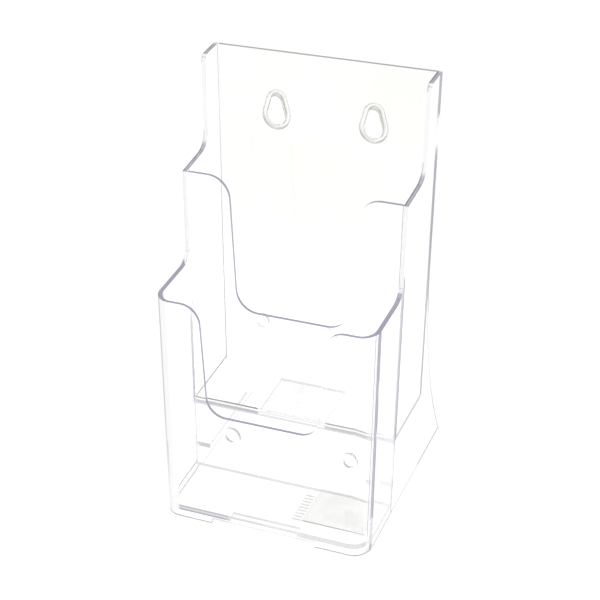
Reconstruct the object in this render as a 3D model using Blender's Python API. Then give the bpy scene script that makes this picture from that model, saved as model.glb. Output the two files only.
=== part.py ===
"""Two-pocket brochure rack for narrow leaflets, made of clear plastic sheet and small clear pieces.

Two leaning pockets stand one behind the other between two side walls. The rear pocket sits
higher. The side walls run down behind the back panel as legs, so that the rack stands on a
counter, and its top rear edge and the leg tips share one plane, so that it also hangs on a wall.

Frame: metres, +Z up, -Y towards the reader, X across. The origin is the bottom centre of the
object's box.
"""
import math

import bmesh
import bpy

# Driving dimensions
MM = 0.001
HEIGHT = 198.0 * MM
DEPTH = 104.2 * MM
TOP_WIDTH = 111.0 * MM
BASE_WIDTH = 103.0 * MM
SIDE_WALL = 2.2 * MM
SHEET = 1.5 * MM
REAR_FLOOR = 2.2 * MM
FRONT_FLOOR = 2.7 * MM
GAP = 0.3 * MM

# Lean of each wall, as run over rise
BACK_LEAN = 0.162
FRONT_LEAN = 0.147

# Pockets
POCKET_PITCH = 36.5 * MM
FRONT_POCKET_TOP = 111.0 * MM
REAR_POCKET_TOP = 154.0 * MM
FRONT_FLOOR_TOP = 5.1 * MM
REAR_FLOOR_TOP = 39.6 * MM
ARCH_HEIGHT = FRONT_FLOOR_TOP - FRONT_FLOOR
CORNER_RADIUS = 8.3 * MM
BACK_BEND_RADIUS = 1.0 * MM

# Side wall outline
WING_DEPTH = 13.0 * MM
WING_CORNER = 4.0 * MM
LEDGE_FILLET = 9.0 * MM
UPPER_LEDGE_RISE = 1.5 * MM
FILLET_TIP = 0.3 * MM
LEG_TANGENT_HEIGHT = 105.0 * MM

# Finger notches: half width at the top, half width at the bottom, bottom height, corner radius
REAR_NOTCH = (31.8 * MM, 27.7 * MM, 89.6 * MM, 11.0 * MM)
FRONT_NOTCH = (30.8 * MM, 27.3 * MM, 57.3 * MM, 9.5 * MM)

# Keyholes and their collars
KEYHOLE_X = 24.0 * MM
KEYHOLE_LOW_Z = 167.4 * MM
KEYHOLE_SPACING = 6.6 * MM
KEYHOLE_BIG_RADIUS = 4.7 * MM
KEYHOLE_SMALL_RADIUS = 2.9 * MM
COLLAR_WIDTH = 2.4 * MM
COLLAR_RISE = 1.8 * MM

# Round bosses
BACK_BOSS_X = -31.1 * MM
BACK_BOSS_Z = 62.0 * MM
BACK_BOSS_RADIUS = 3.2 * MM
BACK_BOSS_RISE = 1.6 * MM
BACK_DISC_X = 0.8 * MM
BACK_DISC_Z = 56.5 * MM
BACK_DISC_RADIUS = 8.8 * MM
BACK_DISC_RISE = 0.4 * MM
DIVIDER_BOSS_X = 30.5 * MM
DIVIDER_BOSS_Z = 23.5 * MM
DIVIDER_BOSS_RADIUS = 4.7 * MM
DIVIDER_BOSS_BORE = 2.6 * MM
DIVIDER_BOSS_RISE = 1.1 * MM

# Floor plates: width, depth, thickness
REAR_PLATE_SIZE = (33.4 * MM, 28.6 * MM, 0.9 * MM)
FRONT_PLATE_SIZE = (31.0 * MM, 24.0 * MM, 0.8 * MM)
FRONT_PLATE_X = 32.5 * MM
FRONT_PLATE_SETBACK = 7.7 * MM

# Recess under the front floor's front edge: width, depth, height
RECESS_SIZE = (34.0 * MM, 4.0 * MM, 1.3 * MM)

# Grip ribs, leg ribs and feet
GRIP_RIB_COUNT = 9
GRIP_RIB_SIZE = (4.6 * MM, 0.7 * MM, 0.7 * MM)
GRIP_RIB_PITCH = 2.2 * MM
GRIP_SPINE = 0.7 * MM
LEG_RIB_WIDTH = 6.0 * MM
LEG_RIB_TOP = 15.4 * MM
LEG_RIB_THICKNESS = 2.7 * MM
LEG_RIB_SETBACK = 15.0 * MM
ARCH_HALF_WIDTH = 26.3 * MM
ARCH_CORNER = 0.6 * MM

ARC_STEP = math.radians(7)
PLASTIC_COLOUR = (0.93, 0.94, 0.97, 1.0)
SHEET_Y = SHEET * math.sqrt(1 + BACK_LEAN ** 2)
BACK_ANGLE = math.atan(BACK_LEAN)
BEAD_STEPS = 8
DISC_STEPS = 48


# The planes of the walls

def half_width(z):
    """Half of the outer width at height z."""
    return (BASE_WIDTH + (TOP_WIDTH - BASE_WIDTH) * z / HEIGHT) / 2


def inner_half_width(z):
    """Half of the width that a cross sheet may fill between the side walls."""
    return half_width(z) - SIDE_WALL - GAP


def back_rear_y(z):
    return DEPTH / 2 - BACK_LEAN * (HEIGHT - z)


def back_front_y(z):
    return back_rear_y(z) - SHEET_Y


def middle_front_y(z):
    return back_front_y(z) - POCKET_PITCH


def middle_rear_y(z):
    return middle_front_y(z) + SHEET_Y


def front_y(z):
    """Outer face of the front wall."""
    return -DEPTH / 2 + FRONT_LEAN * z


# Outlines

def arc_points(centre, radius, start, end):
    """Points along an arc, both ends included."""
    steps = max(2, math.ceil(abs(end - start) / ARC_STEP))
    angles = [start + (end - start) * i / steps for i in range(steps + 1)]
    return [(centre[0] + radius * math.cos(a), centre[1] + radius * math.sin(a)) for a in angles]


def rounded(corners):
    """Turn corners (a, b, radius) of a closed outline into points, with an arc at each radius."""
    points = []
    for i, (a, b, radius) in enumerate(corners):
        if radius == 0:
            points.append((a, b))
            continue
        before = corners[i - 1]
        after = corners[(i + 1) % len(corners)]
        to_before = math.atan2(before[1] - b, before[0] - a)
        to_after = math.atan2(after[1] - b, after[0] - a)
        opening = (to_after - to_before + math.pi) % (2 * math.pi) - math.pi
        middle = to_before + opening / 2
        reach = radius / math.sin(abs(opening) / 2)
        centre = (a + reach * math.cos(middle), b + reach * math.sin(middle))
        turn = math.copysign(math.pi - abs(opening), opening)
        start = to_before - math.copysign(math.pi / 2, opening)
        points += arc_points(centre, radius, start, start - turn)
    return points


def notch_corners(notch, top):
    """The finger notch in a wall's top edge, from right to left."""
    half_top, half_bottom, bottom, radius = notch
    return [
        (half_top, top, radius),
        (half_bottom, bottom, radius),
        (-half_bottom, bottom, radius),
        (-half_top, top, radius),
    ]


def egg_outline(grow):
    """The keyhole's outline in (x, z), widest at the bottom, grown outwards by a distance."""
    big = KEYHOLE_BIG_RADIUS + grow
    small = KEYHOLE_SMALL_RADIUS + grow
    slope = math.asin((big - small) / KEYHOLE_SPACING)
    low = arc_points((0, KEYHOLE_LOW_Z), big, math.pi - slope, 2 * math.pi + slope)
    high = arc_points((0, KEYHOLE_LOW_Z + KEYHOLE_SPACING), small, slope, math.pi - slope)
    return low + high


def leg_outline():
    """The leg's hollow rear edge from its tip up to where it leaves the back panel's rear face."""
    tip = (DEPTH / 2, 0)
    top = (back_rear_y(LEG_TANGENT_HEIGHT), LEG_TANGENT_HEIGHT)
    normal = (math.cos(BACK_ANGLE), -math.sin(BACK_ANGLE))
    chord = (tip[0] - top[0], tip[1] - top[1])
    reach = (chord[0] ** 2 + chord[1] ** 2) / (2 * (chord[0] * normal[0] + chord[1] * normal[1]))
    centre = (top[0] + reach * normal[0], top[1] + reach * normal[1])
    start = math.atan2(tip[1] - centre[1], tip[0] - centre[0]) % (2 * math.pi)
    end = math.atan2(top[1] - centre[1], top[0] - centre[0]) % (2 * math.pi)
    count = 12
    angles = [start + (end - start) * i / count for i in range(count + 1)]
    return [(centre[0] + reach * math.cos(a), centre[1] + reach * math.sin(a)) for a in angles]


def leg_rear_y(z):
    """Where the leg's rear edge is at height z."""
    points = leg_outline()
    for (y0, z0), (y1, z1) in zip(points, points[1:]):
        if z0 <= z <= z1:
            return y0 + (y1 - y0) * (z - z0) / (z1 - z0)
    return back_rear_y(z)


# Building

def make_object(name, bm, smooth=False):
    """Finish a mesh as an object with its own clear plastic."""
    bmesh.ops.remove_doubles(bm, verts=bm.verts, dist=1e-7)
    bmesh.ops.recalc_face_normals(bm, faces=bm.faces)
    mesh = bpy.data.meshes.new(name)
    bm.to_mesh(mesh)
    bm.free()
    if smooth:
        mesh.shade_smooth()
        mesh.set_sharp_from_angle(angle=math.radians(35))
    mesh.materials.append(clear_plastic(name))
    obj = bpy.data.objects.new(name, mesh)
    bpy.context.collection.objects.link(obj)
    obj.parent = rack
    return obj


def clear_plastic(name):
    material = bpy.data.materials.new(name + "_plastic")
    material.use_nodes = True
    shader = material.node_tree.nodes["Principled BSDF"]
    shader.inputs["Base Color"].default_value = PLASTIC_COLOUR
    shader.inputs["Roughness"].default_value = 0.05
    shader.inputs["Metallic"].default_value = 0.0
    shader.inputs["IOR"].default_value = 1.49
    shader.inputs["Transmission Weight"].default_value = 1.0
    return material


def add_prism(bm, near, far):
    """A closed body between two matching loops of points."""
    add_patch(bm, near, far, ())


def add_patch(bm, near, far, open_edges):
    """Two matching faces and the rim between them, left out along the open edges."""
    near_verts = [bm.verts.new(p) for p in near]
    far_verts = [bm.verts.new(p) for p in far]
    bm.faces.new(near_verts)
    bm.faces.new(list(reversed(far_verts)))
    for i in range(len(near_verts)):
        j = (i + 1) % len(near_verts)
        if i not in open_edges:
            bm.faces.new((near_verts[j], near_verts[i], far_verts[i], far_verts[j]))


def add_loft(bm, loops):
    """A closed ring-shaped body through loops of points, the last joined to the first."""
    rows = [[bm.verts.new(p) for p in loop] for loop in loops]
    for k, row in enumerate(rows):
        following = rows[(k + 1) % len(rows)]
        for i in range(len(row)):
            j = (i + 1) % len(row)
            bm.faces.new((row[i], row[j], following[j], following[i]))


def cross_sheet(name, outline, near_y, far_y):
    """A sheet across the rack: outline in (x, z), each face on a plane given as y(z)."""
    bm = bmesh.new()
    near = [(x, near_y(z), z) for x, z in outline]
    far = [(x, far_y(z), z) for x, z in outline]
    add_prism(bm, near, far)
    return make_object(name, bm)


def rectangle(x0, x1, y0, y1, z):
    return [(x0, y0, z), (x1, y0, z), (x1, y1, z), (x0, y1, z)]


# Cutters

def cut(obj, name, near, far):
    """Take the prism between two loops of points away from an object."""
    bm = bmesh.new()
    add_prism(bm, near, far)
    bmesh.ops.recalc_face_normals(bm, faces=bm.faces)
    mesh = bpy.data.meshes.new(name)
    bm.to_mesh(mesh)
    bm.free()
    cutter = bpy.data.objects.new(name, mesh)
    bpy.context.collection.objects.link(cutter)
    cutter.parent = rack
    cutter.hide_render = True
    cutter.display_type = "WIRE"
    modifier = obj.modifiers.new(name, "BOOLEAN")
    modifier.operation = "DIFFERENCE"
    modifier.solver = "EXACT"
    modifier.object = cutter


# Back panel, which bends forward into the rear pocket's floor

def back_profile():
    """The back panel and its floor in (y, z)."""
    top = REAR_FLOOR_TOP
    low = top - REAR_FLOOR
    return rounded([
        (middle_front_y(low), low, 0),
        (back_rear_y(low), low, BACK_BEND_RADIUS + SHEET),
        (back_rear_y(HEIGHT), HEIGHT, 0),
        (back_front_y(HEIGHT), HEIGHT, 0),
        (back_front_y(top), top, BACK_BEND_RADIUS),
        (middle_front_y(top), top, 0),
    ])


def cut_keyhole(panel, side):
    outline = [(side * KEYHOLE_X + x, z) for x, z in egg_outline(0)]
    reach = 4 * SHEET
    near = [(x, back_front_y(z) - reach, z) for x, z in outline]
    far = [(x, back_rear_y(z) + reach, z) for x, z in outline]
    cut(panel, "keyhole_cutter", near, far)


def cut_floor_window(panel):
    """The window in the rear pocket's floor, open to the front, that the rear plate fills."""
    half = REAR_PLATE_SIZE[0] / 2 + GAP
    front = middle_front_y(REAR_FLOOR_TOP)
    rear = front + REAR_PLATE_SIZE[1] + GAP
    loops = [
        rectangle(-half, half, front - REAR_FLOOR, rear, z)
        for z in (REAR_FLOOR_TOP - 2 * REAR_FLOOR, REAR_FLOOR_TOP + REAR_FLOOR)
    ]
    cut(panel, "window_cutter", loops[0], loops[1])


def build_back_panel():
    profile = back_profile()
    bm = bmesh.new()
    left = [(-inner_half_width(z), y, z) for y, z in profile]
    right = [(inner_half_width(z), y, z) for y, z in profile]
    add_prism(bm, left, right)
    panel = make_object("back_panel", bm, smooth=True)
    for side in (-1, 1):
        cut_keyhole(panel, side)
    cut_floor_window(panel)


def half_round(width, rise):
    """A half-round bead's section: distances across from its inner edge, with the lift at each."""
    angles = [math.pi * i / BEAD_STEPS for i in range(BEAD_STEPS + 1)]
    return [(width / 2 * (1 + math.cos(a)), GAP + rise * math.sin(a)) for a in angles]


def build_keyhole_collar(name, side):
    """A rounded bead round the keyhole, on the back panel's rear face."""
    loops = []
    for grow, lift in half_round(COLLAR_WIDTH, COLLAR_RISE):
        loops.append([
            (side * KEYHOLE_X + x, back_rear_y(z) + lift, z) for x, z in egg_outline(grow)
        ])
    bm = bmesh.new()
    add_loft(bm, loops)
    make_object(name, bm, smooth=True)


# Side walls with wings and legs, behind the front pocket's returns

def side_outline():
    """The side wall in (y, z), from its front bottom corner."""
    wing_y = back_front_y(HEIGHT) - WING_DEPTH
    upper = REAR_POCKET_TOP + UPPER_LEDGE_RISE
    corners = [(middle_front_y(0), 0, 0)]
    corners += [(y, z, 0) for y, z in leg_outline()]
    corners += [
        (back_rear_y(HEIGHT), HEIGHT, 0),
        (wing_y, HEIGHT, WING_CORNER),
        (back_front_y(upper) - WING_DEPTH, upper, LEDGE_FILLET),
        (middle_front_y(REAR_POCKET_TOP), REAR_POCKET_TOP, 0),
    ]
    return rounded(corners)


def build_side_wall(name, side):
    outline = side_outline()
    bm = bmesh.new()
    outer = [(side * half_width(z), y, z) for y, z in outline]
    inner = [(side * (half_width(z) - SIDE_WALL), y, z) for y, z in outline]
    add_prism(bm, outer, inner)
    make_object(name, bm, smooth=True)


def build_leg_rib(name, side):
    """A flat rib along the inside of a leg, from the divider towards the leg's rear edge."""
    front = middle_rear_y(LEG_RIB_TOP) + GAP
    rear = leg_rear_y(LEG_RIB_TOP) - LEG_RIB_SETBACK
    loops = []
    for z in (LEG_RIB_TOP - LEG_RIB_THICKNESS, LEG_RIB_TOP):
        outer_x = side * inner_half_width(z)
        inner_x = side * (inner_half_width(z) - LEG_RIB_WIDTH)
        loops.append(rectangle(inner_x, outer_x, front, rear, z))
    bm = bmesh.new()
    add_prism(bm, loops[0], loops[1])
    make_object(name, bm)


# The sheet between the pockets, in two pieces with the rear floor's edge between them

def build_rear_pocket_front():
    low = REAR_FLOOR_TOP + GAP
    high = REAR_POCKET_TOP
    corners = [
        (-inner_half_width(low), low, 0),
        (inner_half_width(low), low, 0),
        (inner_half_width(high), high, 0),
    ]
    corners += notch_corners(REAR_NOTCH, high)
    corners.append((-inner_half_width(high), high, 0))
    cross_sheet("rear_pocket_front", rounded(corners), middle_front_y, middle_rear_y)


def build_divider():
    low = ARCH_HEIGHT
    high = REAR_FLOOR_TOP - REAR_FLOOR - GAP
    outline = [
        (-inner_half_width(low), low),
        (inner_half_width(low), low),
        (inner_half_width(high), high),
        (-inner_half_width(high), high),
    ]
    cross_sheet("pocket_divider", outline, middle_front_y, middle_rear_y)


# Front pocket: one sheet bent round both front corners

def corner_path(z, side, inner):
    """The front corner in (x, y) at height z, from the side to the front face."""
    radius_x = CORNER_RADIUS - (SIDE_WALL if inner else 0)
    radius_y = CORNER_RADIUS - (SHEET if inner else 0)
    centre_x = side * (half_width(z) - CORNER_RADIUS)
    centre_y = front_y(z) + CORNER_RADIUS
    start = 0 if side > 0 else math.pi
    unit = arc_points((0, 0), 1, start, start - side * math.pi / 2)
    return [(centre_x + radius_x * x, centre_y + radius_y * y) for x, y in unit]


def add_shell_corner(bm, side):
    """The bend itself, from the ground to the pocket's top."""
    rows = {}
    for inner in (False, True):
        for z in (0, FRONT_POCKET_TOP):
            rows[inner, z] = [bm.verts.new((x, y, z)) for x, y in corner_path(z, side, inner)]
    outer_low, outer_high = rows[False, 0], rows[False, FRONT_POCKET_TOP]
    inner_low, inner_high = rows[True, 0], rows[True, FRONT_POCKET_TOP]
    for i in range(len(outer_low) - 1):
        j = i + 1
        bm.faces.new((outer_low[i], outer_low[j], outer_high[j], outer_high[i]))
        bm.faces.new((inner_low[j], inner_low[i], inner_high[i], inner_high[j]))
        bm.faces.new((outer_low[j], outer_low[i], inner_low[i], inner_low[j]))
        bm.faces.new((outer_high[i], outer_high[j], inner_high[j], inner_high[i]))


def add_shell_front(bm):
    """The flat front, with the arch between the feet and the finger notch."""
    high = FRONT_POCKET_TOP
    corners = [
        (-(half_width(0) - CORNER_RADIUS), 0, 0),
        (-ARCH_HALF_WIDTH, 0, 0),
        (-ARCH_HALF_WIDTH, ARCH_HEIGHT, ARCH_CORNER),
        (ARCH_HALF_WIDTH, ARCH_HEIGHT, ARCH_CORNER),
        (ARCH_HALF_WIDTH, 0, 0),
        (half_width(0) - CORNER_RADIUS, 0, 0),
        (half_width(high) - CORNER_RADIUS, high, 0),
    ]
    corners += notch_corners(FRONT_NOTCH, high)
    corners.append((-(half_width(high) - CORNER_RADIUS), high, 0))
    outline = rounded(corners)
    right_edge = outline.index((half_width(0) - CORNER_RADIUS, 0))
    near = [(x, front_y(z), z) for x, z in outline]
    far = [(x, front_y(z) + SHEET, z) for x, z in outline]
    add_patch(bm, near, far, (right_edge, len(outline) - 1))


def return_outline():
    """A side return in (y, z); its top sweeps up to meet the side wall behind it."""
    top = FRONT_POCKET_TOP
    corner = middle_front_y(top)
    sweep = rounded([
        (middle_front_y(REAR_POCKET_TOP), REAR_POCKET_TOP, 0),
        (corner, top, LEDGE_FILLET),
        (front_y(top) + CORNER_RADIUS, top, 0),
    ])[1:-1]
    sweep = [(y, z) for y, z in sweep if middle_front_y(z) - y > FILLET_TIP]
    tip_z = sweep[0][1]
    outline = [(front_y(0) + CORNER_RADIUS, 0), (middle_front_y(0) - GAP, 0)]
    outline.append((middle_front_y(tip_z) - GAP, tip_z))
    outline += sweep
    outline.append((front_y(top) + CORNER_RADIUS, top))
    return outline


def add_shell_return(bm, side):
    outline = return_outline()
    outer = [(side * half_width(z), y, z) for y, z in outline]
    inner = [(side * (half_width(z) - SIDE_WALL), y, z) for y, z in outline]
    add_patch(bm, outer, inner, (len(outline) - 1,))


def build_front_pocket_shell():
    bm = bmesh.new()
    add_shell_front(bm)
    for side in (-1, 1):
        add_shell_corner(bm, side)
        add_shell_return(bm, side)
    make_object("front_pocket_shell", bm, smooth=True)


def build_front_pocket_floor():
    """The front pocket's floor, with a shallow recess under the middle of its front edge."""
    radius = CORNER_RADIUS - SHEET - GAP
    low = ARCH_HEIGHT
    loops = []
    for z in (low, FRONT_FLOOR_TOP):
        half = inner_half_width(z)
        front = front_y(z) + SHEET + GAP
        rear = middle_front_y(z) - GAP
        corners = [(-half, front, radius), (half, front, radius), (half, rear, 0), (-half, rear, 0)]
        loops.append([(x, y, z) for x, y in rounded(corners)])
    bm = bmesh.new()
    add_prism(bm, loops[0], loops[1])
    floor = make_object("front_pocket_floor", bm)
    width, depth, height = RECESS_SIZE
    rear = front_y(FRONT_FLOOR_TOP) + SHEET + GAP + depth
    recess = [
        rectangle(-width / 2, width / 2, -DEPTH, rear, z) for z in (0, low + height)
    ]
    cut(floor, "recess_cutter", recess[0], recess[1])


# Plates on the floors

def build_plate(name, size, x, front, low):
    """A flat rectangular plate from its front edge and its underside."""
    width, depth, thickness = size
    loops = [
        rectangle(x - width / 2, x + width / 2, front, front + depth, z)
        for z in (low, low + thickness)
    ]
    bm = bmesh.new()
    add_prism(bm, loops[0], loops[1])
    make_object(name, bm)


def build_plates(front_plate_front):
    """The rear plate fills the floor's window, flush on top; the front plate lies on its floor."""
    build_plate(
        "rear_floor_plate",
        REAR_PLATE_SIZE,
        0,
        middle_front_y(REAR_FLOOR_TOP),
        REAR_FLOOR_TOP - REAR_PLATE_SIZE[2],
    )
    build_plate(
        "front_floor_plate",
        FRONT_PLATE_SIZE,
        FRONT_PLATE_X,
        front_plate_front,
        FRONT_FLOOR_TOP + GAP,
    )


def build_grip_comb(front):
    """A row of small equal bars on one spine, beside the front plate."""
    length, depth, height = GRIP_RIB_SIZE
    right = FRONT_PLATE_X - FRONT_PLATE_SIZE[0] / 2 - GAP
    spine = right - GRIP_SPINE
    outline = [(right, front + (GRIP_RIB_COUNT - 1) * GRIP_RIB_PITCH + depth), (right, front)]
    for i in range(GRIP_RIB_COUNT):
        y = front + i * GRIP_RIB_PITCH
        outline += [(spine - length, y), (spine - length, y + depth)]
        if i < GRIP_RIB_COUNT - 1:
            outline += [(spine, y + depth), (spine, y + GRIP_RIB_PITCH)]
    low = FRONT_FLOOR_TOP + GAP
    bm = bmesh.new()
    add_prism(bm, [(x, y, low) for x, y in outline], [(x, y, low + height) for x, y in outline])
    make_object("floor_grip_comb", bm)


# Round bosses

def build_boss(name, x, z, face_y, way, size):
    """A round boss on a leaning wall: way +1 stands it on a rear face, -1 on a front face.

    size is its radius, its bore and its rise. With a bore it is a half-round ring, and a bore of
    0 makes a flat disc.
    """
    outer, bore, rise = size
    angles = [2 * math.pi * i / DISC_STEPS for i in range(DISC_STEPS)]
    bm = bmesh.new()

    def ring(radius, lift):
        return [(radius * math.cos(a), way * lift, radius * math.sin(a)) for a in angles]

    if bore == 0:
        add_prism(bm, ring(outer, GAP), ring(outer, GAP + rise))
    else:
        section = half_round(outer - bore, rise)
        add_loft(bm, [ring(bore + grow, lift) for grow, lift in section])
    boss = make_object(name, bm, smooth=True)
    boss.location = (x, face_y(z), z)
    boss.rotation_euler = (-BACK_ANGLE, 0, 0)


def build_bosses():
    back_boss = (BACK_BOSS_RADIUS, 0, BACK_BOSS_RISE)
    back_disc = (BACK_DISC_RADIUS, 0, BACK_DISC_RISE)
    divider_boss = (DIVIDER_BOSS_RADIUS, DIVIDER_BOSS_BORE, DIVIDER_BOSS_RISE)
    build_boss("back_boss", BACK_BOSS_X, BACK_BOSS_Z, back_rear_y, 1, back_boss)
    build_boss("back_disc", BACK_DISC_X, BACK_DISC_Z, back_rear_y, 1, back_disc)
    for side, word in ((-1, "left"), (1, "right")):
        x = side * DIVIDER_BOSS_X
        build_boss(word + "_divider_boss", x, DIVIDER_BOSS_Z, middle_front_y, -1, divider_boss)


for old in list(bpy.data.objects):
    bpy.data.objects.remove(old, do_unlink=True)

rack = bpy.data.objects.new("brochure_rack", None)
bpy.context.collection.objects.link(rack)

build_back_panel()
build_rear_pocket_front()
build_divider()
build_front_pocket_shell()
build_front_pocket_floor()
for side_sign, side_word in ((-1, "left"), (1, "right")):
    build_side_wall(side_word + "_side_wall", side_sign)
    build_leg_rib(side_word + "_leg_rib", side_sign)
    build_keyhole_collar(side_word + "_keyhole_collar", side_sign)
build_bosses()

plate_front = front_y(FRONT_FLOOR_TOP) + SHEET + FRONT_PLATE_SETBACK
build_plates(plate_front)
build_grip_comb(plate_front)
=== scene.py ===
"""Looks of the clear two-pocket brochure rack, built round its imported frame."""
import math

import bpy
from mathutils import Matrix, Vector


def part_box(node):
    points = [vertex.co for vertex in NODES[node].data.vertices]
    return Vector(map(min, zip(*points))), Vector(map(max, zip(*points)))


MM = 0.001

# Camera
CAMERA_AZIMUTH = math.radians(24.57)
CAMERA_ELEVATION = math.radians(33.18)
CAMERA_ROLL = math.radians(-3.70)
CAMERA_DISTANCE = 0.8008
CAMERA_TARGET = Vector((-0.0049, 0.0179, 0.0868))
CAMERA_LENS = 101.7

# Plastic
REFRACTIVE_INDEX = 1.49
CRITICAL_COSINE = math.sqrt(1 - 1 / REFRACTIVE_INDEX ** 2)
TRAPPED_REFLECTIONS = 6
# Glow colours for painted shade and painted light, down to the warm one; the tints below are the
# plastic's own
WHITE = (1.0, 1.0, 1.0, 1.0)
PALE = (0.84, 0.84, 0.85, 1.0)
LIGHT_GREY = (0.77, 0.77, 0.77, 1.0)
SOFT_GREY = (0.58, 0.58, 0.59, 1.0)
MID_GREY = (0.44, 0.44, 0.44, 1.0)
DARK_GREY = (0.28, 0.28, 0.28, 1.0)
DEEP_VIOLET = (0.40, 0.385, 0.48, 1.0)
DARK_VIOLET = (0.24, 0.23, 0.29, 1.0)
EDGE_GREY = (0.34, 0.335, 0.36, 1.0)
OLIVE = (0.36, 0.36, 0.32, 1.0)
UPRIGHT = (0.93, 0.93, 0.94, 1.0)
WARM_SHADE = (0.48, 0.48, 0.38, 1.0)
SHEET_TINT = (1.0, 1.0, 1.0)
PLATE_TINT = (0.985, 0.985, 0.972)
TINT_VARIATION = 0.985
ABSORPTION_COLOUR = (0.74, 0.74, 0.80, 1.0)
ABSORPTION_DENSITY = 8.0
SHADOW_COLOUR = (0.996, 0.996, 0.997, 1.0)

# Patterns in the plastic: scales in waves per metre, and a step that sets the pieces apart
CLOUD_SCALE = 30.0
HAZE_SCALE = 220.0
HAZE_ROUGHNESS = 0.02
WAVE_SCALE = 60.0
WAVE_STRENGTH = 0.02
WAVE_DISTANCE = 1 * MM
PATTERN_STEP = (0.37, 0.53, 0.71)

# Directions. A face looks along an axis where that part of its direction is above FACING, and
# hardly turns to it where that part is below ASIDE.
FACING = 0.9
ASIDE = 0.3
# Directions that set which side of a small round feature gets painted shade
UPPER_RIGHT = (0.6, 0.0, 0.8)
LOWER_LEFT = (-0.6, 0.0, -0.8)

# Painted shade and painted light across an edge: from the bottom to the top of a floor's front
# edge, and from the left to the right face of a side wall
REAR_FLOOR_SHADING = [
    (0.0, (0.80, 0.80, 0.83, 1)), (0.3, (0.60, 0.59, 0.63, 1)), (0.6, (0.52, 0.50, 0.55, 1)),
    (0.8, (0.56, 0.55, 0.58, 1)), (0.9, (0.80, 0.80, 0.80, 1)), (1.0, (1, 1, 1, 1)),
]
FRONT_FLOOR_SHADING = [
    (0.0, (0.40, 0.38, 0.43, 1)), (0.25, (0.42, 0.41, 0.45, 1)), (0.45, (0.74, 0.73, 0.78, 1)),
    (0.6, (0.72, 0.71, 0.75, 1)), (0.8, (0.43, 0.42, 0.46, 1)), (1.0, (0.52, 0.51, 0.54, 1)),
]
LEDGE_SHADING = [
    (0.0, (0.25, 0.24, 0.28, 1)), (0.2, (0.27, 0.26, 0.30, 1)), (0.45, (0.50, 0.48, 0.55, 1)),
    (0.7, (0.44, 0.42, 0.50, 1)), (0.9, EDGE_GREY), (1.0, SOFT_GREY),
]
FILLET_SHADING = [(0.0, SOFT_GREY), (0.25, LIGHT_GREY), (0.4, UPRIGHT), (1.0, UPRIGHT)]

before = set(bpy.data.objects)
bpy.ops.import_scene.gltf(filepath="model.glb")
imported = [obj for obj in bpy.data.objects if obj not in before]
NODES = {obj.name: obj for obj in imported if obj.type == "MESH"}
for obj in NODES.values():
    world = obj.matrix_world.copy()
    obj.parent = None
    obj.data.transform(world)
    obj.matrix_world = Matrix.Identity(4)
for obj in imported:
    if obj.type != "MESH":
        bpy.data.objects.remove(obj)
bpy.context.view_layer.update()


# The sheets' places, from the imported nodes. A leaned place is y taken down to the ground along
# the lean of the back panel and the sheets parallel to it.

pocket_low, pocket_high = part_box("rear_pocket_front")
divider_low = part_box("pocket_divider")[0]
panel_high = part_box("back_panel")[1]
LEAN = (pocket_low.y - divider_low.y) / (pocket_low.z - divider_low.z)
MIDDLE_FRONT = divider_low.y - LEAN * divider_low.z
MIDDLE_REAR = pocket_high.y - LEAN * pocket_high.z
BACK_REAR = panel_high.y - LEAN * panel_high.z
BACK_FRONT = BACK_REAR - (MIDDLE_REAR - MIDDLE_FRONT)
MIDDLE = (MIDDLE_FRONT + MIDDLE_REAR) / 2
BACK = (BACK_FRONT + BACK_REAR) / 2
REAR_FLOOR_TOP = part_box("rear_floor_plate")[1].z
REAR_FLOOR_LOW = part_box("back_panel")[0].z
FRONT_FLOOR_LOW, FRONT_FLOOR_TOP = [corner.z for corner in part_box("front_pocket_floor")]
WINDOW_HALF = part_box("rear_floor_plate")[1].x
KEYHOLE_LOW, KEYHOLE_HIGH = [corner.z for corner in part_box("left_keyhole_collar")]
FLOOR_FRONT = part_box("front_pocket_floor")[0].y
FLOOR_EDGE_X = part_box("front_pocket_floor")[1].x
TOP = panel_high.z

# Sizes that no box gives. A face that looks sideways beyond WALL_X is a side wall's or a return's.
WALL = 2.2 * MM
FRONT_TOP = 111 * MM
RECESS_HALF = 17.4 * MM
WALL_X = 40 * MM
TAPER = (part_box("right_side_wall")[1].x - WALL - FLOOR_EDGE_X) / (TOP - FRONT_FLOOR_TOP)


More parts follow.
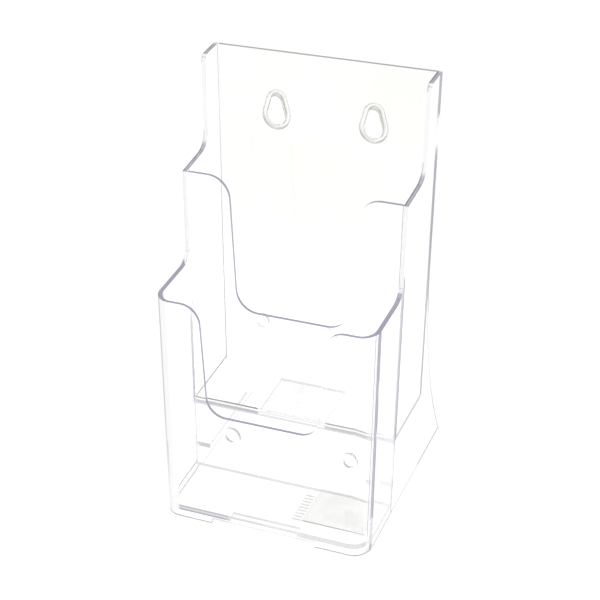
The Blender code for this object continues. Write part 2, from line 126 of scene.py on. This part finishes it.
class Graph:
    """A small helper for building node trees."""

    def __init__(self, tree):
        self.tree = tree
        tree.nodes.clear()

    def node(self, kind, **settings):
        made = self.tree.nodes.new(kind)
        for key, value in settings.items():
            setattr(made, key, value)
        return made

    def feed(self, socket, value):
        """Link a node's output to a socket, or set the socket to a plain value."""
        if isinstance(value, bpy.types.NodeSocket):
            self.tree.links.new(value, socket)
        else:
            socket.default_value = value

    def maths(self, operation, a, b=0.0):
        made = self.node("ShaderNodeMath", operation=operation)
        self.feed(made.inputs[0], a)
        self.feed(made.inputs[1], b)
        return made.outputs[0]

    def all(self, first, *others):
        """Shares multiplied."""
        for other in others:
            first = self.maths("MULTIPLY", first, other)
        return first

    def any(self, first, *others):
        """The largest of several shares."""
        for other in others:
            first = self.maths("MAXIMUM", first, other)
        return first

    def inverse(self, share):
        return self.maths("SUBTRACT", 1.0, share)

    def size(self, value):
        return self.maths("ABSOLUTE", value)

    def above(self, value, edge):
        return self.maths("GREATER_THAN", value, edge)

    def below(self, value, edge):
        return self.maths("LESS_THAN", value, edge)

    def near(self, value, middle, half):
        """1 within half of middle, else 0."""
        return self.below(self.size(self.maths("SUBTRACT", value, middle)), half)

    def rise(self, value, start, end):
        """0 below start, 1 above end, and a straight slope between them."""
        made = self.node("ShaderNodeMapRange")
        made.inputs["From Min"].default_value = start
        made.inputs["From Max"].default_value = end
        self.feed(made.inputs["Value"], value)
        return made.outputs["Result"]

    def ramp(self, factor, stops):
        made = self.node("ShaderNodeValToRGB")
        elements = made.color_ramp.elements
        while len(elements) < len(stops):
            elements.new(0.5)
        for element, (position, colour) in zip(elements, stops):
            element.position = position
            element.color = colour
        self.feed(made.inputs["Fac"], factor)
        return made.outputs["Color"]

    def profile(self, value, stops):
        """A share that follows a place: stops are (millimetres, share)."""
        start, end = stops[0][0], stops[-1][0]
        along = self.rise(value, start * MM, end * MM)
        return self.ramp(along, [
            ((at - start) / (end - start), (share, share, share, 1)) for at, share in stops
        ])

    def choose(self, share, first, second):
        """first where share is 0, second where it is 1."""
        made = self.node("ShaderNodeMixRGB")
        self.feed(made.inputs["Fac"], share)
        self.feed(made.inputs["Color1"], first)
        self.feed(made.inputs["Color2"], second)
        return made.outputs[0]

    def place(self):
        """The place on the piece, for patterns."""
        return self.node("ShaderNodeTexCoord").outputs["Object"]

    def noise(self, vector, scale, detail=2.0, roughness=0.5):
        made = self.node("ShaderNodeTexNoise")
        made.inputs["Scale"].default_value = scale
        made.inputs["Detail"].default_value = detail
        made.inputs["Roughness"].default_value = roughness
        self.feed(made.inputs["Vector"], vector)
        return made.outputs["Fac"]

    def glow(self, colour):
        made = self.node("ShaderNodeEmission")
        self.feed(made.inputs["Color"], colour)
        return made.outputs[0]

    def mix(self, share, first, second):
        made = self.node("ShaderNodeMixShader")
        for socket, value in zip(made.inputs, (share, first, second)):
            self.feed(socket, value)
        return made.outputs[0]

    def parts(self, vector):
        split = self.node("ShaderNodeSeparateXYZ")
        self.feed(split.inputs[0], vector)
        return split.outputs["X"], split.outputs["Y"], split.outputs["Z"]

    def dot(self, first, second):
        made = self.node("ShaderNodeVectorMath", operation="DOT_PRODUCT")
        self.feed(made.inputs[0], first)
        self.feed(made.inputs[1], second)
        return made.outputs["Value"]


class Meeting:
    """Where light meets a face of the plastic, and from which side."""

    def __init__(self, g):
        geometry = g.node("ShaderNodeNewGeometry")
        self.normal = geometry.outputs["Normal"]
        self.x, self.y, self.z = g.parts(geometry.outputs["Position"])
        self.nx, self.ny, self.nz = g.parts(self.normal)
        self.inside = geometry.outputs["Backfacing"]
        self.outside = g.inverse(self.inside)
        self.leaned = g.maths("SUBTRACT", self.y, g.maths("MULTIPLY", self.z, LEAN))
        self.cosine = g.size(g.dot(geometry.outputs["Incoming"], self.normal))
        self.kept_in = g.all(g.below(self.cosine, CRITICAL_COSINE), self.inside)
        # The faces of side walls and returns: the outer one met from outside, the inner one met
        # from within the wall, and the inner one met from the pocket
        outward = g.maths("MULTIPLY", self.nx, self.x)
        self.outer_face = g.all(g.above(outward, WALL_X * FACING), self.outside)
        self.through_wall = g.all(g.above(outward, WALL_X * FACING), self.inside)
        self.wall_inside = g.all(g.below(outward, -WALL_X * FACING), self.outside)
        # How far in from a side wall's outer face
        outer_x = g.maths("ADD", FLOOR_EDGE_X + WALL, g.maths("MULTIPLY", self.z, TAPER))
        self.depth = g.maths("SUBTRACT", outer_x, g.size(self.x))
        # Across a side wall's thickness, from 0 at its left face to 1 at its right face
        share_in = g.rise(self.depth, 0.0, WALL)
        self.across = g.choose(g.above(self.x, 0.0), share_in, g.inverse(share_in))
        # Blotches that break a line into dashes
        self.dashes = g.rise(g.noise(geometry.outputs["Position"], 160.0, 1.0), 0.44, 0.5)


# Marks: painted shade where a piece holds light back, and painted light where it looks pale. Each
# function takes the graph and the meeting, and gives a share and the colour that is painted
# instead.

def seams_through_wall(g, at):
    """Painted shade where cross sheets meet a side wall, seen through the wall."""
    middle = g.all(
        g.near(at.leaned, MIDDLE, 2.2 * MM),
        g.profile(at.z, [(37, 0), (39, 0.95), (118, 0.95), (121, 0)]),
    )
    below_floor = g.all(
        g.near(at.leaned, MIDDLE, 1.1 * MM),
        g.profile(at.z, [(5, 1), (36, 1), (38, 0)]),
        g.profile(at.dashes, [(0, 0.4), (1000, 1.0)]),
    )
    back = g.all(
        g.near(at.leaned, BACK, 1.3 * MM),
        g.profile(at.z, [
            (38, 0), (39, 0.9), (90, 0.8), (120, 1), (157, 1), (162, 0.7),
            (165, 0.08), (176, 0.1), (179, 0.9), (198, 0.9),
        ]),
    )
    floor = g.all(
        g.near(at.z, (REAR_FLOOR_TOP + REAR_FLOOR_LOW) / 2, 1.1 * MM),
        g.near(at.leaned, (MIDDLE + BACK) / 2, (BACK - MIDDLE) / 2),
        0.6,
    )
    seams = g.any(middle, below_floor, back, floor)
    return g.all(at.through_wall, seams), DARK_VIOLET


def seams_inside_pocket(g, at):
    """The same joints as fine lines of painted shade on a side wall's inner face."""
    back = g.all(
        g.near(at.leaned, BACK_FRONT, 0.5 * MM),
        g.profile(at.z, [(38, 0), (39, 0.8), (100, 0.6), (198, 0.4)]),
    )
    floor = g.all(
        g.near(at.z, REAR_FLOOR_TOP + 0.5 * MM, 0.5 * MM),
        g.near(at.leaned, (MIDDLE + BACK) / 2, (BACK - MIDDLE) / 2),
        0.8,
    )
    middle = g.all(
        g.near(at.leaned, MIDDLE_FRONT, 0.4 * MM),
        g.profile(at.z, [(5, 0.4), (38, 0.5), (41, 0.8), (85, 0.7), (100, 0)]),
    )
    return g.all(at.wall_inside, g.any(back, floor, middle)), DARK_GREY


def leg_edge(g, at):
    """Painted shade along the right leg's hollow rear edge, seen through the wall."""
    edge = g.all(g.below(g.size(at.nx), ASIDE), g.above(at.leaned, BACK_REAR + 0.3 * MM))
    height = g.profile(at.z, [(0, 0.8), (30, 0.65), (60, 0.4), (103, 0.35), (104, 0)])
    return g.all(edge, at.inside, g.above(at.x, 0.0), height), DARK_GREY


def wall_foot(g, at):
    """Painted shade along the ground edge of a side wall's outer face."""
    return g.all(at.outer_face, g.below(at.z, 0.4 * MM), 0.3), MID_GREY


def floor_through_wall(g, at):
    """Painted shade on the front floor's side edge, seen through a side return."""
    edge = g.near(at.z, (FRONT_FLOOR_LOW + FRONT_FLOOR_TOP) / 2, 1.4 * MM)
    return g.all(at.through_wall, edge, 0.35), SOFT_GREY


def right_bend(g, at):
    """The right front bend turns light away, most in the middle of its curve."""
    curve = g.size(g.maths("MULTIPLY", at.nx, at.ny))
    height = g.profile(at.z, [(4, 0), (9, 1), (111, 1), (112, 1)])
    share = g.all(at.kept_in, g.rise(curve, 0.1, 0.32), g.above(at.x, 0.0), height, 0.9)
    return share, DEEP_VIOLET


def return_ends(g, at):
    """Painted shade at the ends of the side returns, where they meet the side walls."""
    place = g.near(at.leaned, MIDDLE_FRONT - 0.3 * MM, 0.4 * MM)
    end = g.all(place, g.above(g.size(at.ny), FACING))
    right = g.profile(at.z, [(5, 0.3), (36, 0.3), (39, 0.85), (120, 0.85)])
    left = g.profile(at.z, [(5, 0.3), (36, 0.3), (39, 0.85), (80, 0.8), (88, 0.0)])
    return g.all(end, at.inside, g.choose(g.above(at.x, 0.0), left, right)), DEEP_VIOLET


def left_bend(g, at):
    """Painted light makes the left front bend pale, with a fine line of painted shade where it
    turns out of sight.
    """
    curve = g.above(g.size(g.maths("MULTIPLY", at.nx, at.ny)), 0.05)
    bend = g.all(at.outside, curve, g.below(at.x, -WALL_X), g.below(at.z, FRONT_TOP - 0.1 * MM))
    line = g.profile(at.z, [(6, 0.1), (25, 0.3), (50, 0.7), (110, 0.7)])
    rim = g.all(g.below(at.cosine, 0.35), line)
    return g.all(bend, g.any(rim, 0.85)), g.choose(rim, WHITE, MID_GREY)


def ledge_tips(g, at):
    """The ledges end in tips of painted pale light where they turn upright."""
    tip = g.all(g.below(g.size(at.nx), ASIDE), g.below(at.nz, 0.7), g.above(g.size(at.x), WALL_X))
    return g.all(tip, at.outside, g.above(at.z, FRONT_TOP + 0.1 * MM), 0.85), UPRIGHT


def floor_seam(g, at):
    """Painted shade along the front floor's joint on a side return's inner face."""
    line = g.near(at.z, FRONT_FLOOR_TOP + 0.8 * MM, 0.4 * MM)
    return g.all(at.wall_inside, line, 0.8), DARK_GREY


def foot_line(g, at):
    """Painted shade along the lowest edge of the feet, dark where it stands on the counter."""
    return g.all(at.outside, g.below(at.z, 0.4 * MM), g.below(g.size(at.nz), 0.7), 0.95), DARK_GREY


def rear_floor_edge(g, at):
    """Painted shade on the rear floor's front edge, seen through the sheets in front of it."""
    face = g.all(at.outside, g.below(at.ny, -FACING), g.below(at.z, REAR_FLOOR_TOP + 0.1 * MM))
    share = g.profile(at.x, [
        (-50, 0.7), (-45, 0.85), (-18, 0.95), (-17, 0.3), (17, 0.3), (18, 0.85), (30, 0.9),
        (45, 0.7), (47, 0.3), (50, 0.2),
    ])
    height = g.rise(at.z, REAR_FLOOR_LOW, REAR_FLOOR_TOP)
    return g.all(face, share), g.ramp(height, REAR_FLOOR_SHADING)


def pocket_foot_line(g, at):
    """The rear pocket's front sheet standing on the floor: a fine line of painted shade along its
    rear.
    """
    line = g.all(at.inside, g.below(at.ny, -FACING), g.below(at.z, REAR_FLOOR_TOP + 0.75 * MM))
    share = g.profile(at.x, [
        (-50, 0.8), (-18, 1), (-17, 0.1), (17, 0.1), (18, 0.9), (40, 0.8), (46, 0.3), (50, 0.2),
    ])
    return g.all(line, share), DARK_GREY


def window_sides(g, at):
    """Painted pale light keeps the window's narrow sides as pale as the floor round them."""
    side = g.all(g.above(g.size(at.nx), FACING), g.below(g.size(at.x), WINDOW_HALF + 1 * MM))
    back = g.all(g.above(g.size(at.ny), FACING), g.below(g.size(at.x), WINDOW_HALF + 0.5 * MM))
    low = g.below(at.z, REAR_FLOOR_TOP + 0.1 * MM)
    return g.all(g.any(side, g.all(back, g.above(at.leaned, MIDDLE_REAR))), low, 0.8), UPRIGHT


def warm_panel_shade(g, at):
    """A faint warm painted shade over the upper back panel."""
    face = g.all(at.outside, g.below(at.ny, -FACING))
    cloud = g.rise(g.noise(g.place(), 35.0, 2.0), 0.2, 0.6)
    height = g.profile(at.z, [(95, 0), (120, 0.25), (198, 0.275)])
    return g.all(face, height, g.maths("ADD", g.maths("MULTIPLY", cloud, 0.3), 0.7)), WARM_SHADE


def front_floor_edge(g, at):
    """The front floor's front edge: two lines of painted shade at the left, a band of painted
    light at the right.
    """
    face = g.all(at.outside, g.below(at.ny, -0.15))
    left = g.profile(at.x, [(-51, 1), (-20, 1), (-16, 0.3), (0, 0.25), (1, 0.25)])
    right = g.profile(at.x, [(0, 0.25), (15, 0.3), (18, 0.7), (50, 0.8)])
    share = g.choose(g.above(at.x, 0.0), left, right)
    height = g.rise(at.z, FRONT_FLOOR_LOW, FRONT_FLOOR_TOP)
    edge_shading = g.ramp(height, FRONT_FLOOR_SHADING)
    return g.all(face, share), g.choose(g.above(at.x, 0.0), edge_shading, LIGHT_GREY)


def recess_sides(g, at):
    """Painted pale light over the recess under the front floor, so that it shows only faintly."""
    inner = g.above(at.y, FLOOR_FRONT + 2 * MM)
    under = g.all(g.below(at.z, FRONT_FLOOR_TOP - 0.1 * MM), g.below(g.size(at.x), RECESS_HALF))
    upright = g.any(g.above(g.size(at.nx), FACING), g.above(g.size(at.ny), FACING))
    return g.all(under, upright, inner, 0.75), PALE


def shaded_side(direction, strength):
    """Small round features get painted shade on the side that looks along direction."""

    def shade(g, at):
        outer = g.maths("SUBTRACT", 1.0, g.maths("MULTIPLY", at.inside, 2.0))
        turned = g.maths("MULTIPLY", g.dot(at.normal, direction), outer)
        soft = g.all(g.rise(turned, 0.25, 0.85), strength)
        fine = g.all(at.kept_in, 0.25)
        return g.any(soft, fine), DARK_GREY

    return shade


def faint_rim(g, at):
    """A soft line where light is kept inside."""
    return g.all(at.kept_in, 0.4), MID_GREY


def cloudy_top_shade(strength):
    """A face that looks up gets a little grey painted shade, broken into clouds."""

    def shade(g, at):
        cloud = g.rise(g.noise(g.place(), 90.0, 3.0), 0.3, 0.7)
        share = g.maths("ADD", g.maths("MULTIPLY", cloud, 0.8), 0.5)
        return g.all(at.outside, g.above(at.nz, FACING), share, strength), OLIVE

    return shade


def plate_front(g, at):
    """Painted shade along the front plate's front edge, darkest at its left end."""
    share = g.profile(at.x, [(16, 0.95), (30, 0.75), (49, 0.3)])
    return g.all(at.outside, g.below(at.ny, -FACING), share), OLIVE


def comb_fronts(g, at):
    """Painted shade: the front of each grip rib is a grey line."""
    return g.all(at.outside, g.below(at.ny, -FACING), 0.8), SOFT_GREY


def wall_edges(g, at):
    """Painted shade and painted light along a side wall's edges: dark along the top, violet along
    the ledge, pale where upright.
    """
    edge = g.all(at.outside, g.below(g.size(at.nx), ASIDE), g.below(at.leaned, BACK_FRONT))
    high = g.above(at.z, TOP - 1 * MM)
    turn = g.choose(high, g.rise(at.nz, 0.6, 0.8), g.above(at.nz, 0.93))
    fillet = g.choose(g.above(at.nz, 0.2), UPRIGHT, g.ramp(at.across, FILLET_SHADING))
    colour = g.choose(turn, fillet, g.ramp(at.across, LEDGE_SHADING))
    return g.all(edge, g.above(at.z, FRONT_TOP - 1 * MM), 0.9), colour


def keyhole_sides(g, at):
    """Painted shade on the keyholes' walls, grey where they look down and to the left."""
    hole = g.all(
        g.below(g.size(at.ny), 0.5),
        g.above(at.z, KEYHOLE_LOW),
        g.below(at.z, KEYHOLE_HIGH),
        g.below(g.size(at.x), WALL_X),
    )
    turned = g.maths("MULTIPLY", g.dot(at.normal, LOWER_LEFT), -1.0)
    return g.all(hole, at.inside, g.rise(turned, 0.2, 0.8), 0.55), MID_GREY


# Painted glow colours of the light that a piece keeps inside, where they change over the piece

def panel_trapped(g, at):
    """Grey along the top edge, pale elsewhere."""
    return g.choose(g.above(at.z, TOP - 30 * MM), PALE, MID_GREY)


def shell_trapped(g, at):
    """Violet in the ledges and the notch, pale at the foot."""
    return g.choose(g.below(at.z, 6 * MM), DEEP_VIOLET, PALE)


COLLAR = (LIGHT_GREY, SHEET_TINT, [shaded_side(LOWER_LEFT, 0.4)])
BOSS = (MID_GREY, SHEET_TINT, [shaded_side(UPPER_RIGHT, 0.6)])
SIDE = (
    PALE,
    SHEET_TINT,
    [seams_through_wall, seams_inside_pocket, leg_edge, wall_edges, wall_foot],
)
PLAIN = (PALE, SHEET_TINT, [])

# For each piece: the painted colour of light kept inside, the tint and the marks of painted shade
# and light
LOOKS = {
    "back_panel": (
        panel_trapped,
        SHEET_TINT,
        [window_sides, warm_panel_shade, rear_floor_edge, keyhole_sides],
    ),
    "back_boss": (SOFT_GREY, SHEET_TINT, [faint_rim]),
    "back_disc": (PALE, SHEET_TINT, [shaded_side(LOWER_LEFT, 0.35)]),
    "floor_grip_comb": (PALE, PLATE_TINT, [comb_fronts]),
    "front_floor_plate": (PALE, PLATE_TINT, [cloudy_top_shade(0.15), plate_front]),
    "front_pocket_floor": (PALE, SHEET_TINT, [cloudy_top_shade(0.12), recess_sides, front_floor_edge]),
    "front_pocket_shell": (
        shell_trapped,
        SHEET_TINT,
        [
            right_bend, return_ends, left_bend, floor_seam, foot_line, ledge_tips,
            floor_through_wall,
        ],
    ),
    "left_divider_boss": BOSS,
    "left_keyhole_collar": COLLAR,
    "left_leg_rib": (SOFT_GREY, SHEET_TINT, []),
    "left_side_wall": SIDE,
    "pocket_divider": PLAIN,
    "rear_floor_plate": (UPRIGHT, SHEET_TINT, [cloudy_top_shade(0.17)]),
    "rear_pocket_front": (DEEP_VIOLET, SHEET_TINT, [pocket_foot_line]),
    "right_divider_boss": BOSS,
    "right_keyhole_collar": COLLAR,
    "right_leg_rib": PLAIN,
    "right_side_wall": SIDE,
}


def clear_plastic(name, seed, look):
    """Clear plastic: real refraction, a faint tint along long paths, gentle waves in its faces."""
    trapped, tint, marks = look
    material = bpy.data.materials.new(name)
    material.use_nodes = True
    g = Graph(material.node_tree)
    shift = g.node("ShaderNodeVectorMath", operation="ADD")
    shift.inputs[1].default_value = tuple(seed * step for step in PATTERN_STEP)
    g.feed(shift.inputs[0], g.place())
    place = shift.outputs[0]

    plastic = g.node("ShaderNodeBsdfPrincipled")
    plastic.inputs["IOR"].default_value = REFRACTIVE_INDEX
    plastic.inputs["Transmission Weight"].default_value = 1.0
    deeper = tuple(TINT_VARIATION * part for part in tint)
    clouds = g.ramp(g.noise(place, CLOUD_SCALE, 3.0), [(0.3, deeper + (1,)), (0.7, tint + (1,))])
    g.feed(plastic.inputs["Base Color"], clouds)
    haze = g.maths("MULTIPLY", g.noise(place, HAZE_SCALE, 4.0, 0.7), HAZE_ROUGHNESS)
    g.feed(plastic.inputs["Roughness"], haze)
    bump = g.node("ShaderNodeBump")
    bump.inputs["Strength"].default_value = WAVE_STRENGTH
    bump.inputs["Distance"].default_value = WAVE_DISTANCE
    g.feed(bump.inputs["Height"], g.noise(place, WAVE_SCALE, 1.0))
    g.feed(plastic.inputs["Normal"], bump.outputs[0])

    path = g.node("ShaderNodeLightPath")
    at = Meeting(g)
    # Light kept inside by many reflections is painted as a glow of a set colour, and each mark
    # then paints shade or light over the surface
    kept = g.above(path.outputs["Glossy Depth"], TRAPPED_REFLECTIONS)
    colour = trapped(g, at) if callable(trapped) else trapped
    surface = g.mix(kept, plastic.outputs[0], g.glow(colour))
    for mark in marks:
        share, colour = mark(g, at)
        surface = g.mix(share, surface, g.glow(colour))

    through = g.node("ShaderNodeBsdfTransparent")
    through.inputs["Color"].default_value = SHADOW_COLOUR
    passing = g.any(path.outputs["Is Shadow Ray"], path.outputs["Is Diffuse Ray"])
    absorption = g.node("ShaderNodeVolumeAbsorption")
    absorption.inputs["Color"].default_value = ABSORPTION_COLOUR
    absorption.inputs["Density"].default_value = ABSORPTION_DENSITY
    output = g.node("ShaderNodeOutputMaterial")
    g.feed(output.inputs["Surface"], g.mix(passing, surface, through.outputs[0]))
    g.feed(output.inputs["Volume"], absorption.outputs[0])
    return material


def finish_pieces():
    for seed, (name, piece) in enumerate(sorted(NODES.items())):
        piece.data.materials.clear()
        piece.data.materials.append(clear_plastic(name + "_look", seed, LOOKS[name]))


# Stage
FLOOR_SIZE = 6.0
FLOOR_DROP = 0.2 * MM
FLOOR_ROUGHNESS = 0.6
FLOOR_WHITE = 0.92
WORLD_STRENGTH = 1.14
BENT_FLOOR_STRENGTH = 1.2
SIDE_GREY = (0.60, 0.60, 0.59, 1.0)
BOUNCES = 32


def bent_ray(g):
    """1 for a ray that the plastic has bent or mirrored, 0 for any other."""
    path = g.node("ShaderNodeLightPath")
    return g.any(path.outputs["Is Glossy Ray"], path.outputs["Is Transmission Ray"])


def build_floor():
    """A white floor that looks brighter still to rays that the plastic has bent."""
    bpy.ops.mesh.primitive_plane_add(size=FLOOR_SIZE, location=(0, 0, -FLOOR_DROP))
    floor = bpy.context.active_object
    floor.name = "floor"
    material = bpy.data.materials.new("floor")
    material.use_nodes = True
    g = Graph(material.node_tree)
    shader = g.node("ShaderNodeBsdfPrincipled")
    shader.inputs["Roughness"].default_value = FLOOR_ROUGHNESS
    shader.inputs["Base Color"].default_value = (FLOOR_WHITE, FLOOR_WHITE, FLOOR_WHITE, 1)
    lit = g.node("ShaderNodeEmission")
    lit.inputs["Strength"].default_value = BENT_FLOOR_STRENGTH
    output = g.node("ShaderNodeOutputMaterial")
    g.feed(output.inputs["Surface"], g.mix(bent_ray(g), shader.outputs[0], lit.outputs[0]))
    floor.data.materials.append(material)


def build_world():
    """White all round for lighting, with darker sides for what the plastic bends into view."""
    world = bpy.data.worlds.new("studio")
    bpy.context.scene.world = world
    world.use_nodes = True
    g = Graph(world.node_tree)
    height = g.parts(g.node("ShaderNodeTexCoord").outputs["Generated"])[2]
    around = g.ramp(height, [(0.55, SIDE_GREY), (0.85, WHITE)])
    background = g.node("ShaderNodeBackground")
    background.inputs["Strength"].default_value = WORLD_STRENGTH
    g.feed(background.inputs["Color"], g.choose(bent_ray(g), WHITE, around))
    output = g.node("ShaderNodeOutputWorld")
    g.feed(output.inputs["Surface"], background.outputs[0])


def build_camera():
    back = Vector((
        math.sin(CAMERA_AZIMUTH) * math.cos(CAMERA_ELEVATION),
        -math.cos(CAMERA_AZIMUTH) * math.cos(CAMERA_ELEVATION),
        math.sin(CAMERA_ELEVATION),
    ))
    right = Vector((0, 0, 1)).cross(back).normalized()
    up = right.cross(-back)
    cos_roll, sin_roll = math.cos(CAMERA_ROLL), math.sin(CAMERA_ROLL)
    tilted_right = right * cos_roll + up * sin_roll
    tilted_up = up * cos_roll - right * sin_roll
    data = bpy.data.cameras.new("camera")
    data.sensor_width = 36
    data.lens = CAMERA_LENS
    camera = bpy.data.objects.new("camera", data)
    bpy.context.scene.collection.objects.link(camera)
    turn = Matrix((tilted_right, tilted_up, back)).transposed().to_4x4()
    camera.matrix_world = Matrix.Translation(CAMERA_TARGET + back * CAMERA_DISTANCE) @ turn
    bpy.context.scene.camera = camera


def set_render():
    scene = bpy.context.scene
    scene.cycles.max_bounces = BOUNCES
    scene.cycles.transmission_bounces = BOUNCES
    scene.cycles.glossy_bounces = BOUNCES
    scene.cycles.diffuse_bounces = 3
    scene.cycles.transparent_max_bounces = BOUNCES
    scene.cycles.use_denoising = True
    scene.view_settings.view_transform = "Standard"


finish_pieces()
build_floor()
build_world()
build_camera()
set_render()
